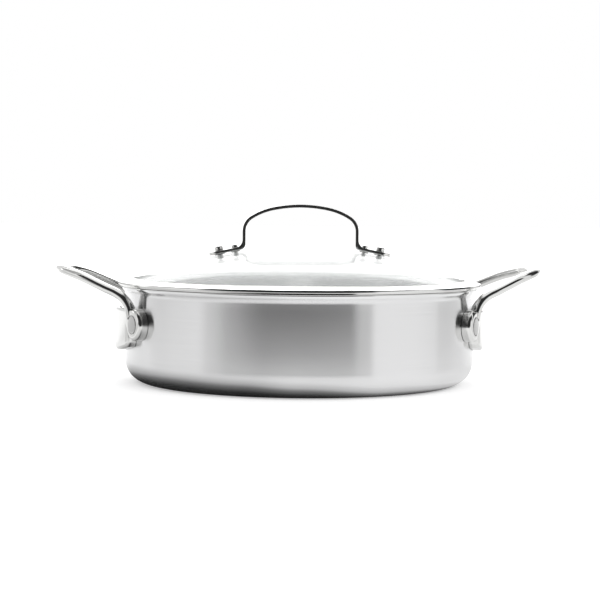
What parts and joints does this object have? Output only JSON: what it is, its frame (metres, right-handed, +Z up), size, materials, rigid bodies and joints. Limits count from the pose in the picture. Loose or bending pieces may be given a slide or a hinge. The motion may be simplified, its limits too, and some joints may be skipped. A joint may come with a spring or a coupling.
{
  "type": "saute pan with lid",
  "caption": "Round stainless saute pan with straight walls, two riveted looped side handles and a domed glass lid with a strap handle.",
  "frame": {"origin": "on the surface the pan stands on, under the centre of its base", "axes": "+Z up, +X towards the right side handle, with the two side handles on the X axis"},
  "size_m": [0.4184, 0.313, 0.1532],
  "materials": {
    "brushed_steel": "satin, brushed round the wall",
    "polished_steel": "bright polish",
    "clear_glass": "clear tempered glass",
    "silicone": "matte",
    "dark_silicone": "matte"
  },
  "bodies": {
    "pan": {"pan_body": "brushed_steel", "side_handle_left": "polished_steel", "side_handle_right": "polished_steel", "rivet_left_front": "polished_steel", "rivet_left_back": "polished_steel", "rivet_right_front": "polished_steel", "rivet_right_back": "polished_steel"},
    "lid": {"lid_glass": "clear_glass", "lid_rim_band": "polished_steel", "lid_handle": "polished_steel", "dome_nut_outer_left": "polished_steel", "dome_nut_inner_left": "polished_steel", "dome_nut_outer_right": "polished_steel", "dome_nut_inner_right": "polished_steel", "upper_washer_outer_left": "dark_silicone", "upper_washer_inner_left": "silicone", "upper_washer_outer_right": "dark_silicone", "upper_washer_inner_right": "silicone", "lower_washer_outer_left": "polished_steel", "lower_washer_inner_left": "polished_steel", "lower_washer_outer_right": "polished_steel", "lower_washer_inner_right": "polished_steel", "screw_outer_left": "polished_steel", "screw_inner_left": "polished_steel", "screw_outer_right": "polished_steel", "screw_inner_right": "polished_steel"}
  },
  "joints": [
    {"name": "lid_lift", "type": "slide", "parent": "pan", "child": "lid", "axis": [0, 0, 1], "range_m": [0, 0.15]}
  ]
}
